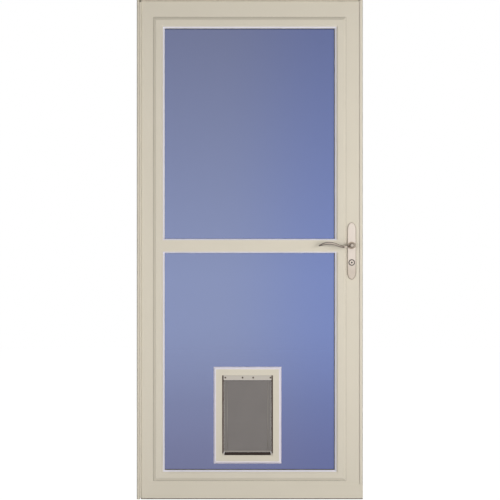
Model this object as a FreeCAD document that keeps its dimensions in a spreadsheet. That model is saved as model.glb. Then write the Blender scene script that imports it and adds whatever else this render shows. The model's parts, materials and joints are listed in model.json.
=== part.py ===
"""Aluminium storm door in its Z-bar frame, with a two-pane insert, a pet flap and a lever lock.

Millimetres, +Z up. The outside of the door faces -Y. The origin lies on the back of the hinge-side
flange, on that flange's centre line at the sill, so the plane Y = 0 is the face of the door casing.
"""

import FreeCAD
import Part
import math
import os
import Sketcher

os.makedirs("parts", exist_ok=True)
doc = FreeCAD.newDocument("StormDoor")
sheet = doc.addObject("Spreadsheet::Sheet", "Sizes")
SKETCH_ORIGIN = (-1, 1)
POINT = dict(zip(("start", "end", "centre"), range(1, 4)))


class Size:
    """A length that carries its value together with the sheet expression that gives it."""

    def __init__(self, value, text):
        self.value = float(value)
        self.text = text

    def __add__(self, other):
        other = as_size(other)
        return Size(self.value + other.value, f"({self.text} + {other.text})")

    def __sub__(self, other):
        other = as_size(other)
        return Size(self.value - other.value, f"({self.text} - {other.text})")

    def __mul__(self, other):
        other = as_size(other)
        return Size(self.value * other.value, f"({self.text} * {other.text})")

    def __truediv__(self, other):
        other = as_size(other)
        return Size(self.value / other.value, f"({self.text} / {other.text})")

    def __neg__(self):
        return Size(-self.value, f"(0 - {self.text})")


def as_size(number):
    """A Size as it is, or a plain number as a Size."""
    return number if isinstance(number, Size) else Size(number, repr(float(number)))


def size(alias, value):
    """Write one driving dimension in the next row of the sheet and return it."""
    row = len(aliases) + 1
    aliases.append(alias)
    sheet.set(f"A{row}", alias)
    sheet.set(f"B{row}", repr(value))
    sheet.setAlias(f"B{row}", alias)
    sheet.recompute()
    return Size(sheet.get(alias), f"Sizes.{alias}")


aliases = []
SIDE_SCREWS = 4
KNUCKLE_PAIRS = 5
LEVER_STATIONS = 13
OVAL_SIDES = 16
PLATE_END_SIDES = 12
CREST_SHARE = 0.65
ROOT_SLIMMING = 0.42
TIP_SLIMMING = 0.4
TIP_ROUNDING = 16
TIP_CLOSING = 0.85
BOSS_TAPER = 0.8
SAME_PLANE = 1e-6
ZERO = as_size(0)
pieces = []

# Overall sizes and the Z-bar frame
overall_width = size("overall_width", 914.4)
header_underside = size("header_underside", 2020.0)
header_flange = size("header_flange", 20.0)
flange_width = size("flange_width", 11.0)
frame_wall = size("frame_wall", 1.6)
frame_depth = size("frame_depth", 37.6)
stop_overlap = size("stop_overlap", 7.0)
drip_reach = size("drip_reach", 18.0)
drip_fall = size("drip_fall", 3.0)
drip_nose = size("drip_nose", 3.0)
pile_width = size("pile_width", 5.0)
pile_height = size("pile_height", 4.5)
pile_taper = size("pile_taper", 1.0)
screw_hole_radius = size("screw_hole_radius", 2.25)
screw_low = size("screw_low", 150.0)
screw_top_inset = size("screw_top_inset", 130.0)
header_screw_inset = size("header_screw_inset", 150.0)
header_screw_height = size("header_screw_height", 13.0)

# Running gaps round the leaf
hinge_gap = size("hinge_gap", 5.0)
latch_gap = size("latch_gap", 6.0)
top_gap = size("top_gap", 5.0)

# Continuous hinge
knuckle_radius = size("knuckle_radius", 4.0)
pin_radius = size("pin_radius", 1.6)
pin_clearance = size("pin_clearance", 0.1)
knuckle_clearance = size("knuckle_clearance", 0.5)
barrel_clearance = size("barrel_clearance", 0.4)
hinge_plate = size("hinge_plate", 1.5)
hinge_plate_depth = size("hinge_plate_depth", 24.0)
hinge_low = size("hinge_low", 6.0)
hinge_top_inset = size("hinge_top_inset", 4.0)

# Leaf frame
leaf_thickness = size("leaf_thickness", 32.0)
leaf_front = size("leaf_front", 7.0)
leaf_bottom = size("leaf_bottom", 12.0)
leaf_wall = size("leaf_wall", 2.0)
stile_face = size("stile_face", 47.5)
top_rail_face = size("top_rail_face", 61.0)
bottom_rail_face = size("bottom_rail_face", 57.5)
insert_lap = size("insert_lap", 15.0)

# Insert frame with its glazing
insert_width = size("insert_width", 48.5)
insert_rise = size("insert_rise", 8.0)
insert_wall = size("insert_wall", 1.8)
insert_quirk = size("insert_quirk", 1.2)
edge_slope_width = size("edge_slope_width", 11.0)
bevel_width = size("bevel_width", 12.0)
insert_depth = size("insert_depth", 29.0)
glass_bite = size("glass_bite", 9.0)
glass_thickness = size("glass_thickness", 4.0)
glass_setback = size("glass_setback", 3.0)
glass_clearance = size("glass_clearance", 0.8)
sight_edge = size("sight_edge", 1.0)
mid_rail_height = size("mid_rail_height", 56.0)
mid_rail_centre = size("mid_rail_centre", 1025.0)
mid_rail_bevel = size("mid_rail_bevel", 8.0)
bead_height = size("bead_height", 12.0)
bead_lip = size("bead_lip", 4.0)
bead_top = size("bead_top", 4.0)

# Bottom expander and sweep
expander_wall = size("expander_wall", 1.5)
expander_low = size("expander_low", 5.0)
expander_top = size("expander_top", 62.0)
expander_barrel_gap = size("expander_barrel_gap", 0.8)
sweep_base = size("sweep_base", 1.5)
sweep_fin = size("sweep_fin", 2.5)
sweep_inset = size("sweep_inset", 3.0)
sweep_ground_gap = size("sweep_ground_gap", 0.5)

# Pet door
pet_width = size("pet_width", 272.5)
pet_height = size("pet_height", 390.0)
pet_left = size("pet_left", 306.3)
pet_low = size("pet_low", 145.5)
pet_member = size("pet_member", 33.5)
pet_front = size("pet_front", 10.0)
pet_edge = size("pet_edge", 3.5)
pet_bevel = size("pet_bevel", 6.0)
pet_sleeve = size("pet_sleeve", 3.0)
pet_sleeve_depth = size("pet_sleeve_depth", 14.0)
pet_inside_thickness = size("pet_inside_thickness", 9.0)
pet_hole_clearance = size("pet_hole_clearance", 1.0)
clamp_height = size("clamp_height", 19.0)
clamp_depth = size("clamp_depth", 10.0)
clamp_inset = size("clamp_inset", 4.0)
clamp_side_gap = size("clamp_side_gap", 6.0)
flap_side_gap = size("flap_side_gap", 7.5)
flap_thickness = size("flap_thickness", 3.5)
flap_bead_radius = size("flap_bead_radius", 2.8)
flap_bead_gap = size("flap_bead_gap", 0.7)
flap_rod_radius = size("flap_rod_radius", 1.5)
flap_rod_end_gap = size("flap_rod_end_gap", 0.4)
flap_set_back = size("flap_set_back", 10.0)
flap_bottom_gap = size("flap_bottom_gap", 12.5)
magnet_height = size("magnet_height", 5.5)
magnet_thickness = size("magnet_thickness", 6.5)
corner_stop_width = size("corner_stop_width", 9.0)
corner_stop_height = size("corner_stop_height", 7.0)
corner_stop_depth = size("corner_stop_depth", 10.0)

# Lock and levers
lock_inset = size("lock_inset", 28.4)
plate_width = size("plate_width", 33.0)
plate_end = size("plate_end", 30.0)
plate_above_lever = size("plate_above_lever", 91.5)
plate_below_cylinder = size("plate_below_cylinder", 68.0)
plate_thickness = size("plate_thickness", 8.0)
plate_chamfer = size("plate_chamfer", 2.5)
lever_height = size("lever_height", 1027.0)
hub_width = size("hub_width", 34.0)
hub_height = size("hub_height", 28.0)
hub_depth = size("hub_depth", 9.0)
hub_gap = size("hub_gap", 0.3)
neck_radius = size("neck_radius", 9.0)
lever_stand_off = size("lever_stand_off", 34.0)
lever_length = size("lever_length", 136.0)
lever_dip_length = size("lever_dip_length", 56.0)
lever_dip = size("lever_dip", 6.5)
lever_crest_length = size("lever_crest_length", 73.0)
lever_crest = size("lever_crest", 9.0)
lever_thickness = size("lever_thickness", 10.5)
lever_depth = size("lever_depth", 15.0)
spindle_radius = size("spindle_radius", 4.5)
spindle_clearance = size("spindle_clearance", 0.3)
spindle_passage = size("spindle_passage", 1.2)
cylinder_drop = size("cylinder_drop", 69.0)
cylinder_radius = size("cylinder_radius", 11.0)
cylinder_projection = size("cylinder_projection", 5.0)
plug_radius = size("plug_radius", 7.5)
plug_clearance = size("plug_clearance", 0.1)
plug_projection = size("plug_projection", 1.0)
key_slot_width = size("key_slot_width", 2.2)
key_slot_height = size("key_slot_height", 9.0)
key_slot_depth = size("key_slot_depth", 6.0)
tail_radius = size("tail_radius", 3.0)
thumb_width = size("thumb_width", 30.0)
thumb_thickness = size("thumb_thickness", 7.0)
thumb_depth = size("thumb_depth", 18.0)
face_plate_width = size("face_plate_width", 22.0)
face_plate_margin = size("face_plate_margin", 55.5)
bolt_width = size("bolt_width", 12.0)
latch_bolt_height = size("latch_bolt_height", 18.0)
dead_bolt_height = size("dead_bolt_height", 24.0)
bolt_projection = size("bolt_projection", 1.0)

# Places worked out from the driving dimensions
outer_left = -flange_width / 2
outer_right = outer_left + overall_width
hinge_web_face = flange_width / 2
latch_web_face = outer_right - flange_width
leaf_left = hinge_web_face + hinge_gap
leaf_right = latch_web_face - latch_gap
leaf_top = header_underside - top_gap
front_face = -leaf_front
back_face = front_face + leaf_thickness
stop_front = frame_depth - frame_wall
hinge_axis_x = hinge_web_face + hinge_gap / 2
hinge_axis_y = front_face - knuckle_radius - barrel_clearance
hinge_high = leaf_top - hinge_top_inset
stile_width = stile_face + insert_lap
top_rail_width = top_rail_face + insert_lap
bottom_rail_width = bottom_rail_face + insert_lap
insert_left = leaf_left + stile_face
insert_right = leaf_right - stile_face
insert_low = leaf_bottom + bottom_rail_face
insert_high = leaf_top - top_rail_face
insert_front = front_face - insert_rise
glass_front = front_face + glass_setback
glass_back = glass_front + glass_thickness
sight_front = glass_front - sight_edge
insert_back = front_face + insert_depth
sight_left = insert_left + insert_width
sight_right = insert_right - insert_width
sight_low = insert_low + insert_width
sight_high = insert_high - insert_width
rail_low = mid_rail_centre - mid_rail_height / 2
rail_high = mid_rail_centre + mid_rail_height / 2
rebate_left = sight_left - glass_bite
rebate_right = sight_right + glass_bite
pet_right = pet_left + pet_width
pet_high = pet_low + pet_height
opening_left = pet_left + pet_member
opening_right = pet_right - pet_member
opening_low = pet_low + pet_member
opening_high = pet_high - pet_member
pet_face = glass_front - pet_front
sleeve_end = glass_front + pet_sleeve_depth
flap_plane = pet_face + flap_set_back
clamp_low = opening_high - clamp_height
flap_axis_z = clamp_low - flap_bead_gap - flap_bead_radius
flap_low = opening_low + flap_bottom_gap
lock_x = leaf_right - lock_inset
cylinder_height = lever_height - cylinder_drop
outside_plate_face = front_face - plate_thickness
inside_plate_face = back_face + plate_thickness


def rectangle(low_u, high_u, low_v, high_v):
    """The four corners of an upright rectangle in a sketch plane."""
    return [(low_u, low_v), (high_u, low_v), (high_u, high_v), (low_u, high_v)]


def add_polygon(sketch, points):
    """Draw a closed outline of straight sides, with each corner held by two sheet sizes."""
    first = sketch.GeometryCount
    count = len(points)
    corners = [FreeCAD.Vector(as_size(u).value, as_size(v).value, 0) for u, v in points]
    for i, start in enumerate(corners):
        sketch.addGeometry(Part.LineSegment(start, corners[(i + 1) % count]), False)
    for i in range(count):
        joint = ("Coincident", first + i, POINT["end"], first + (i + 1) % count, POINT["start"])
        sketch.addConstraint(Sketcher.Constraint(*joint))
    for i, (u, v) in enumerate(points):
        for kind, place in (("DistanceX", as_size(u)), ("DistanceY", as_size(v))):
            hold = (kind, *SKETCH_ORIGIN, first + i, POINT["start"], place.value)
            index = sketch.addConstraint(Sketcher.Constraint(*hold))
            sketch.setExpression(f"Constraints[{index}]", place.text)


def add_circle(sketch, centre_u, centre_v, radius):
    """Draw a circle whose centre and radius are held by sheet sizes."""
    centre_u = as_size(centre_u)
    centre_v = as_size(centre_v)
    centre = FreeCAD.Vector(centre_u.value, centre_v.value, 0)
    circle = sketch.addGeometry(Part.Circle(centre, FreeCAD.Vector(0, 0, 1), radius.value), False)
    for kind, place in (("DistanceX", centre_u), ("DistanceY", centre_v)):
        hold = (kind, *SKETCH_ORIGIN, circle, POINT["centre"], place.value)
        index = sketch.addConstraint(Sketcher.Constraint(*hold))
        sketch.setExpression(f"Constraints[{index}]", place.text)
    index = sketch.addConstraint(Sketcher.Constraint("Radius", circle, radius.value))
    sketch.setExpression(f"Constraints[{index}]", radius.text)


def draw(body, plane, outlines, circles, height):
    """A sketch on one of the body's own origin planes, moved along the plane's normal by height."""
    sketch = body.newObject("Sketcher::SketchObject", f"{body.Name}_sketch")
    support = [p for p in body.Origin.OriginFeatures if p.Role == f"{plane}_Plane"][0]
    sketch.AttachmentSupport = [(support, "")]
    sketch.MapMode = "FlatFace"
    sketch.setExpression("AttachmentOffset.Base.z", height.text)
    for points in outlines:
        add_polygon(sketch, points)
    for centre_u, centre_v, radius in circles:
        add_circle(sketch, centre_u, centre_v, radius)
    return sketch


def add(body, plane, low, high, outlines=(), circles=()):
    """Pad outlines from low to high along the axis across the plane (Z for XY, Y for XZ, X for YZ)."""
    low = as_size(low)
    high = as_size(high)
    height = -high if plane == "XZ" else low
    pad = body.newObject("PartDesign::Pad", f"{body.Name}_pad")
    pad.Profile = draw(body, plane, outlines, circles, height)
    pad.setExpression("Length", (high - low).text)
    body.Tip = pad
    return pad


def cut(body, plane, low, high, outlines=(), circles=()):
    """Pocket outlines from low to high along the axis across the plane."""
    low = as_size(low)
    high = as_size(high)
    height = -low if plane == "XZ" else high
    pocket = body.newObject("PartDesign::Pocket", f"{body.Name}_pocket")
    pocket.Profile = draw(body, plane, outlines, circles, height)
    pocket.setExpression("Length", (high - low).text)
    body.Tip = pocket
    return pocket


def new_body(label):
    """An empty body whose label names the piece."""
    body = doc.addObject("PartDesign::Body", label)
    body.Label = label
    pieces.append(body)
    return body


def prism(label, plane, low, high, outlines=(), circles=()):
    """A piece that is one outline padded from low to high."""
    body = new_body(label)
    add(body, plane, low, high, outlines, circles)
    return body


def front_ring(label, outer, inner, low, high):
    """A flat ring between two upright rectangles (left, right, bottom, top) in the door's plane."""
    body = new_body(label)
    add(body, "XZ", low, high, [rectangle(*outer)])
    cut(body, "XZ", low, high, [rectangle(*inner)])
    return body


def mitred_bar(label, side, bounds, profile, cavity=()):
    """One side of a rectangular frame, with both ends mitred at 45 degrees.

    bounds is the frame's outline (left, right, bottom, top). profile and cavity are the bar's section
    and the hollow in it, as (distance in from the outline, Y). The mitre cuts are right triangles.
    """
    loops = [loop for loop in (profile, cavity) if loop]
    left, right, low, high = bounds
    reach = max((as_size(u) for u, _ in profile), key=lambda place: place.value)
    body = new_body(label)
    if side in ("left", "right"):
        at = (lambda u: left + u) if side == "left" else (lambda u: right - u)
        add(body, "XY", low, high, [[(at(u), y) for u, y in loop] for loop in loops])
        lower = [(at(ZERO), low), (at(reach), low), (at(reach), low + reach)]
        upper = [(at(ZERO), high), (at(reach), high), (at(reach), high - reach)]
    else:
        at = (lambda u: low + u) if side == "bottom" else (lambda u: high - u)
        add(body, "YZ", left, right, [[(y, at(u)) for u, y in loop] for loop in loops])
        lower = [(left, at(ZERO)), (left, at(reach)), (left + reach, at(reach))]
        upper = [(right, at(ZERO)), (right, at(reach)), (right - reach, at(reach))]
    depths = sorted((as_size(y) for _, y in profile), key=lambda place: place.value)
    cut(body, "XZ", depths[0], depths[-1], [lower, upper])
    return body


def z_bar(label, outer, web_face, stop_edge, inward):
    """A side Z-bar: casing flange, web through the opening and the stop behind the leaf.

    inward is +1 where the leaf lies toward +X, and the outline is drawn from the flange's outer edge.
    """
    web_back = web_face - frame_wall * inward
    outline = [
        (outer, -frame_wall),
        (web_face, -frame_wall),
        (web_face, stop_front),
        (stop_edge, stop_front),
        (stop_edge, frame_depth),
        (web_back, frame_depth),
        (web_back, ZERO),
        (outer, ZERO),
    ]
    body = prism(label, "XY", ZERO, header_underside, [outline])
    centre = (outer + web_face) / 2
    spacing = (header_underside - screw_top_inset - screw_low) / (SIDE_SCREWS - 1)
    holes = [(centre, screw_low + spacing * i, screw_hole_radius) for i in range(SIDE_SCREWS)]
    cut(body, "XZ", -frame_wall, ZERO, circles=holes)


def header():
    """The drip cap over the leaf: casing flange, sloping drip lip, web and the stop behind the leaf."""
    flange_top = header_underside + header_flange
    lip_root = header_underside + drip_nose + drip_fall
    lip_end = header_underside + drip_nose
    outline = [
        (frame_depth, header_underside),
        (frame_depth, header_underside + frame_wall),
        (ZERO, header_underside + frame_wall),
        (ZERO, flange_top),
        (-frame_wall, flange_top),
        (-frame_wall, lip_root),
        (-drip_reach, lip_end),
        (-drip_reach, header_underside),
        (frame_wall - drip_reach, header_underside),
        (frame_wall - drip_reach, lip_end - frame_wall),
        (-frame_wall, lip_root - frame_wall),
        (-frame_wall, header_underside),
    ]
    body = prism("header_drip_cap", "YZ", outer_left, outer_right, [outline])
    stop = rectangle(stop_front, frame_depth, leaf_top - stop_overlap, header_underside)
    add(body, "YZ", leaf_left + stop_overlap, leaf_right - stop_overlap, [stop])
    screw_z = header_underside + header_screw_height
    reach = (outer_left + header_screw_inset, outer_right - header_screw_inset)
    cut(body, "XZ", -frame_wall, ZERO, circles=[(x, screw_z, screw_hole_radius) for x in reach])


def weatherstrips():
    """Pile strips on the three stops, each tapering toward the back of the leaf."""
    tip = stop_front - pile_height
    hinge_edge = leaf_left + stop_overlap
    latch_edge = leaf_right - stop_overlap
    for label, edge, inward in (
        ("hinge_side_weatherstrip", hinge_edge, 1),
        ("latch_side_weatherstrip", latch_edge, -1),
    ):
        outline = [
            (edge, stop_front),
            (edge - pile_taper * inward, tip),
            (edge - (pile_width - pile_taper) * inward, tip),
            (edge - pile_width * inward, stop_front),
        ]
        prism(label, "XY", ZERO, header_underside, [outline])
    low = leaf_top - stop_overlap
    outline = [
        (stop_front, low),
        (tip, low + pile_taper),
        (tip, low + pile_width - pile_taper),
        (stop_front, low + pile_width),
    ]
    prism("header_weatherstrip", "YZ", hinge_edge, latch_edge, [outline])


def hinge_side(label, plate_low, plate_high, first):
    """Half of the continuous hinge: a plate with every second knuckle rolled from its front edge."""
    pitch = (hinge_high - hinge_low) / (2 * KNUCKLE_PAIRS)
    body = new_body(label)
    plate = rectangle(plate_low, plate_high, front_face, front_face + hinge_plate_depth)
    add(body, "XY", hinge_low, hinge_high, [plate])
    low = hinge_low + pitch * first
    high = low + pitch - knuckle_clearance
    tab = rectangle(plate_low, plate_high, hinge_axis_y, front_face)
    barrel = add(body, "XY", low, high, circles=[(hinge_axis_x, hinge_axis_y, knuckle_radius)])
    root = add(body, "XY", low, high, [tab])
    pattern = body.newObject("PartDesign::LinearPattern", f"{label}_pattern")
    pattern.Originals = [barrel, root]
    pattern.Direction = ([f for f in body.Origin.OriginFeatures if f.Role == "Z_Axis"][0], [""])
    pattern.Occurrences = KNUCKLE_PAIRS
    pattern.setExpression("Length", (pitch * (2 * KNUCKLE_PAIRS - 2)).text)
    body.Tip = pattern
    bore = pin_radius + pin_clearance
    cut(body, "XY", hinge_low, hinge_high, circles=[(hinge_axis_x, hinge_axis_y, bore)])


def hinge():
    """The full-height hinge in the gap between the Z-bar's web and the leaf's edge, with its pin."""
    hinge_side("hinge_frame_plate", hinge_web_face, hinge_web_face + hinge_plate, 0)
    hinge_side("hinge_door_plate", leaf_left - hinge_plate, leaf_left, 1)
    pin = [(hinge_axis_x, hinge_axis_y, pin_radius)]
    prism("hinge_pin", "XY", hinge_low, hinge_high, circles=pin)


def leaf_member(label, outline, cavity):
    """A hollow box extrusion seen from the front, with its mitred ends open to its neighbours."""
    body = prism(label, "XZ", front_face, back_face, [outline])
    cut(body, "XZ", front_face + leaf_wall, back_face - leaf_wall, [cavity])
    return body


def leaf_frame():
    """The two stiles and two rails, mitred from the leaf's outer corners to its inner ones."""
    inner_left = leaf_left + stile_width
    inner_right = leaf_right - stile_width
    inner_low = leaf_bottom + bottom_rail_width
    inner_high = leaf_top - top_rail_width
    low_run = bottom_rail_width / stile_width
    high_run = top_rail_width / stile_width

    def upright(edge, inner, inward):
        near = leaf_wall
        far = stile_width - leaf_wall
        outline = [
            (edge, leaf_bottom),
            (edge, leaf_top),
            (inner, inner_high),
            (inner, inner_low),
        ]
        cavity = [
            (edge + near * inward, leaf_bottom + low_run * near),
            (edge + near * inward, leaf_top - high_run * near),
            (edge + far * inward, leaf_top - high_run * far),
            (edge + far * inward, leaf_bottom + low_run * far),
        ]
        return outline, cavity

    def level(edge, inner, run, upward, width):
        near = leaf_wall
        far = width - leaf_wall
        outline = [
            (leaf_left, edge),
            (leaf_right, edge),
            (inner_right, inner),
            (inner_left, inner),
        ]
        cavity = [
            (leaf_left + near / run, edge + near * upward),
            (leaf_right - near / run, edge + near * upward),
            (leaf_right - far / run, edge + far * upward),
            (leaf_left + far / run, edge + far * upward),
        ]
        return outline, cavity

    leaf_member("hinge_stile", *upright(leaf_left, inner_left, 1))
    latch = leaf_member("latch_stile", *upright(leaf_right, inner_right, -1))
    leaf_member("top_rail", *level(leaf_top, inner_high, high_run, -1, top_rail_width))
    leaf_member("bottom_rail", *level(leaf_bottom, inner_low, low_run, 1, bottom_rail_width))
    bores = [
        (lock_x, lever_height, spindle_radius + spindle_passage),
        (lock_x, cylinder_height, cylinder_radius),
    ]
    cut(latch, "XZ", front_face, back_face, circles=bores)
    cut(latch, "YZ", leaf_right - leaf_wall, leaf_right, [face_plate_outline()])


def face_plate_outline():
    """The lock's edge plate, centred on the leaf's thickness and reaching past both bolts."""
    middle = (front_face + back_face) / 2
    half = face_plate_width / 2
    low = cylinder_height - face_plate_margin
    high = lever_height + face_plate_margin
    return rectangle(middle - half, middle + half, low, high)


def insert_frame():
    """The raised inner frame: an edge sloped up from the stile, a flat, and a bevel down to the glass."""
    flat_end = insert_width - bevel_width
    profile = [
        (ZERO, front_face),
        (ZERO, front_face - insert_quirk),
        (edge_slope_width, insert_front),
        (flat_end, insert_front),
        (insert_width, sight_front),
        (insert_width, glass_front),
        (insert_width - glass_bite, glass_front),
        (insert_width - glass_bite, insert_back),
        (insert_lap, insert_back),
        (insert_lap, front_face),
    ]
    cavity = rectangle(
        insert_lap + insert_wall,
        insert_width - glass_bite - insert_wall,
        insert_front + insert_wall,
        insert_back - insert_wall,
    )
    bounds = (insert_left, insert_right, insert_low, insert_high)
    for label, side in (
        ("insert_hinge_stile", "left"),
        ("insert_latch_stile", "right"),
        ("insert_top_rail", "top"),
        ("insert_bottom_rail", "bottom"),
    ):
        mitred_bar(label, side, bounds, profile, cavity)


def mid_rail():
    """The rail between the panes, bevelled above and below.

    Its ends are coped over the stiles' bevels and seat in their rebates behind.
    """
    outline = [
        (sight_front, rail_low),
        (insert_front, rail_low + mid_rail_bevel),
        (insert_front, rail_high - mid_rail_bevel),
        (sight_front, rail_high),
        (glass_front, rail_high),
        (glass_front, rail_high - glass_bite),
        (insert_back, rail_high - glass_bite),
        (insert_back, rail_low + glass_bite),
        (glass_front, rail_low + glass_bite),
        (glass_front, rail_low),
    ]
    cavity = rectangle(
        insert_front + insert_wall,
        insert_back - insert_wall,
        rail_low + glass_bite + insert_wall,
        rail_high - glass_bite - insert_wall,
    )
    spare = bevel_width + glass_bite
    body = prism("mid_rail", "YZ", sight_left - spare, sight_right + spare, [outline, cavity])
    for end, flat, sight, rebate in (
        (sight_left - spare, sight_left - bevel_width, sight_left, rebate_left),
        (sight_right + spare, sight_right + bevel_width, sight_right, rebate_right),
    ):
        waste = [
            (end, insert_front),
            (flat, insert_front),
            (sight, sight_front),
            (sight, glass_front),
            (rebate, glass_front),
            (rebate, insert_back),
            (end, insert_back),
        ]
        cut(body, "XY", rail_low, rail_high, [waste])


def glazing():
    """Both panes in their rebates, each held from the inside by a sloping bead."""
    panes = (
        ("upper", rail_high, sight_high),
        ("lower", sight_low, rail_low),
    )
    for name, low, high in panes:
        pane = rectangle(
            rebate_left + glass_clearance,
            rebate_right - glass_clearance,
            low - glass_bite + glass_clearance,
            high + glass_bite - glass_clearance,
        )
        glass = prism(f"{name}_glass", "XZ", glass_front, glass_back, [pane])
        if name == "lower":
            reach = pet_sleeve + pet_hole_clearance
            hole = rectangle(
                opening_left - reach,
                opening_right + reach,
                opening_low - reach,
                opening_high + reach,
            )
            cut(glass, "XZ", glass_front, glass_back, [hole])
        bead(f"{name}_glazing_bead", low, high)


def bead(label, low, high):
    """A bead all round one pane: a square lip on the glass, then a slope back to the rebate's wall."""
    bounds = (rebate_left, rebate_right, low - glass_bite, high + glass_bite)
    sight = (sight_left, sight_right, low, high)
    lip_end = glass_back + bead_lip
    top = glass_back + bead_height
    body = front_ring(label, bounds, sight, glass_back, top)
    slope = glass_bite - bead_top
    left, right, bottom, upper = sight
    for edge, outward in ((left, -1), (right, 1)):
        wedge = [(edge, lip_end), (edge, top), (edge + slope * outward, top)]
        cut(body, "XY", bounds[2], bounds[3], [wedge])
    for edge, outward in ((bottom, -1), (upper, 1)):
        wedge = [(lip_end, edge), (top, edge), (top, edge + slope * outward)]
        cut(body, "YZ", bounds[0], bounds[1], [wedge])


def expander():
    """The channel slipped over the bottom rail, lapping the latch-side flange, with its vinyl sweep."""
    face = front_face - expander_wall
    back = back_face + expander_wall
    floor = expander_low + expander_wall
    body = new_body("bottom_expander")
    front = rectangle(face, front_face, expander_low, expander_top)
    front_start = hinge_axis_x + knuckle_radius + expander_barrel_gap
    add(body, "YZ", front_start, outer_right, [front])
    tray = [
        (front_face, expander_low),
        (back, expander_low),
        (back, expander_top),
        (back_face, expander_top),
        (back_face, floor),
        (front_face, floor),
    ]
    add(body, "YZ", leaf_left, leaf_right, [tray])
    base_low = expander_low - sweep_base
    front_edge = face + sweep_inset
    back_edge = back - sweep_inset
    sweep = prism(
        "bottom_sweep", "YZ", leaf_left, leaf_right,
        [rectangle(front_edge, back_edge, base_low, expander_low)],
    )
    middle = (front_edge + back_edge) / 2
    for start in (front_edge, middle - sweep_fin / 2, back_edge - sweep_fin):
        fin = rectangle(start, start + sweep_fin, sweep_ground_gap, base_low)
        add(sweep, "YZ", leaf_left, leaf_right, [fin])


def pet_frame():
    """The flap's mitred frame outside, with its sleeve through the glass, and the ring inside."""
    profile = [
        (ZERO, glass_front),
        (ZERO, glass_front - pet_edge),
        (pet_bevel, pet_face),
        (pet_member, pet_face),
        (pet_member, sleeve_end),
        (pet_member - pet_sleeve, sleeve_end),
        (pet_member - pet_sleeve, glass_front),
    ]
    bounds = (pet_left, pet_right, pet_low, pet_high)
    rod_hole = [(flap_plane, flap_axis_z, flap_rod_radius + pin_clearance)]
    for side, edge in (("left", opening_left), ("right", opening_right)):
        bar = mitred_bar(f"pet_frame_{side}", side, bounds, profile)
        low = edge - pet_sleeve if side == "left" else edge
        cut(bar, "YZ", low, low + pet_sleeve, circles=rod_hole)
    for side in ("top", "bottom"):
        mitred_bar(f"pet_frame_{side}", side, bounds, profile)
    around = (
        opening_left - pet_sleeve,
        opening_right + pet_sleeve,
        opening_low - pet_sleeve,
        opening_high + pet_sleeve,
    )
    front_ring("pet_frame_inside", bounds, around, glass_back, glass_back + pet_inside_thickness)


def flap():
    """The clamp bar, the flap hung from a rod under it with its magnet strip, and the corner stops."""
    bar = rectangle(
        opening_left + clamp_side_gap,
        opening_right - clamp_side_gap,
        clamp_low,
        opening_high,
    )
    bar_front = pet_face + clamp_inset
    prism("flap_clamp_bar", "XZ", bar_front, bar_front + clamp_depth, [bar])
    left = opening_left + flap_side_gap
    right = opening_right - flap_side_gap
    half = flap_thickness / 2
    panel_low = flap_low + magnet_height
    sheet_outline = rectangle(flap_plane - half, flap_plane + half, panel_low, flap_axis_z)
    panel = prism("pet_flap", "YZ", left, right, [sheet_outline])
    add(panel, "YZ", left, right, circles=[(flap_plane, flap_axis_z, flap_bead_radius)])
    rod = [(flap_plane, flap_axis_z, flap_rod_radius)]
    rod_reach = pet_sleeve - flap_rod_end_gap
    add(panel, "YZ", opening_left - rod_reach, opening_right + rod_reach, circles=rod)
    thick = magnet_thickness / 2
    strip = rectangle(flap_plane - thick, flap_plane + thick, flap_low, panel_low)
    prism("flap_magnet_strip", "YZ", left, right, [strip])
    stop_low = flap_plane - corner_stop_depth / 2
    stop_high = flap_plane + corner_stop_depth / 2
    stop_top = opening_low + corner_stop_height
    for side, edge in (
        ("left", opening_left),
        ("right", opening_right - corner_stop_width),
    ):
        block = rectangle(edge, edge + corner_stop_width, opening_low, stop_top)
        prism(f"flap_corner_stop_{side}", "XZ", stop_low, stop_high, [block])


def plate_outline():
    """A lock plate's outline: straight sides between two half ovals, each taller than it is wide."""
    half = plate_width / 2
    bottom = cylinder_height - plate_below_cylinder + plate_end
    top = lever_height + plate_above_lever - plate_end
    points = []
    for centre, start in ((top, 0), (bottom, math.pi)):
        for step in range(PLATE_END_SIDES + 1):
            turn = start + math.pi * step / PLATE_END_SIDES
            points.append((lock_x + half * math.cos(turn), centre + plate_end * math.sin(turn)))
    return points


def lock_plate(label, seat, face, bores):
    """A long plate with half-oval ends and a softened front edge, bored for the spindle and cylinder."""
    low = min((seat, face), key=lambda place: place.value)
    high = max((seat, face), key=lambda place: place.value)
    body = new_body(label)
    add(body, "XZ", low, high, [plate_outline()])
    doc.recompute()
    blank = body.Tip
    front = [
        f"Edge{i + 1}" for i, edge in enumerate(blank.Shape.Edges)
        if all(abs(vertex.Y - face.value) < SAME_PLANE for vertex in edge.Vertexes)
    ]
    rim = body.newObject("PartDesign::Chamfer", f"{label}_rim")
    rim.Base = (blank, front)
    rim.setExpression("Size", plate_chamfer.text)
    body.Tip = rim
    cut(body, "XZ", low, high, circles=bores)
    return body


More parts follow.
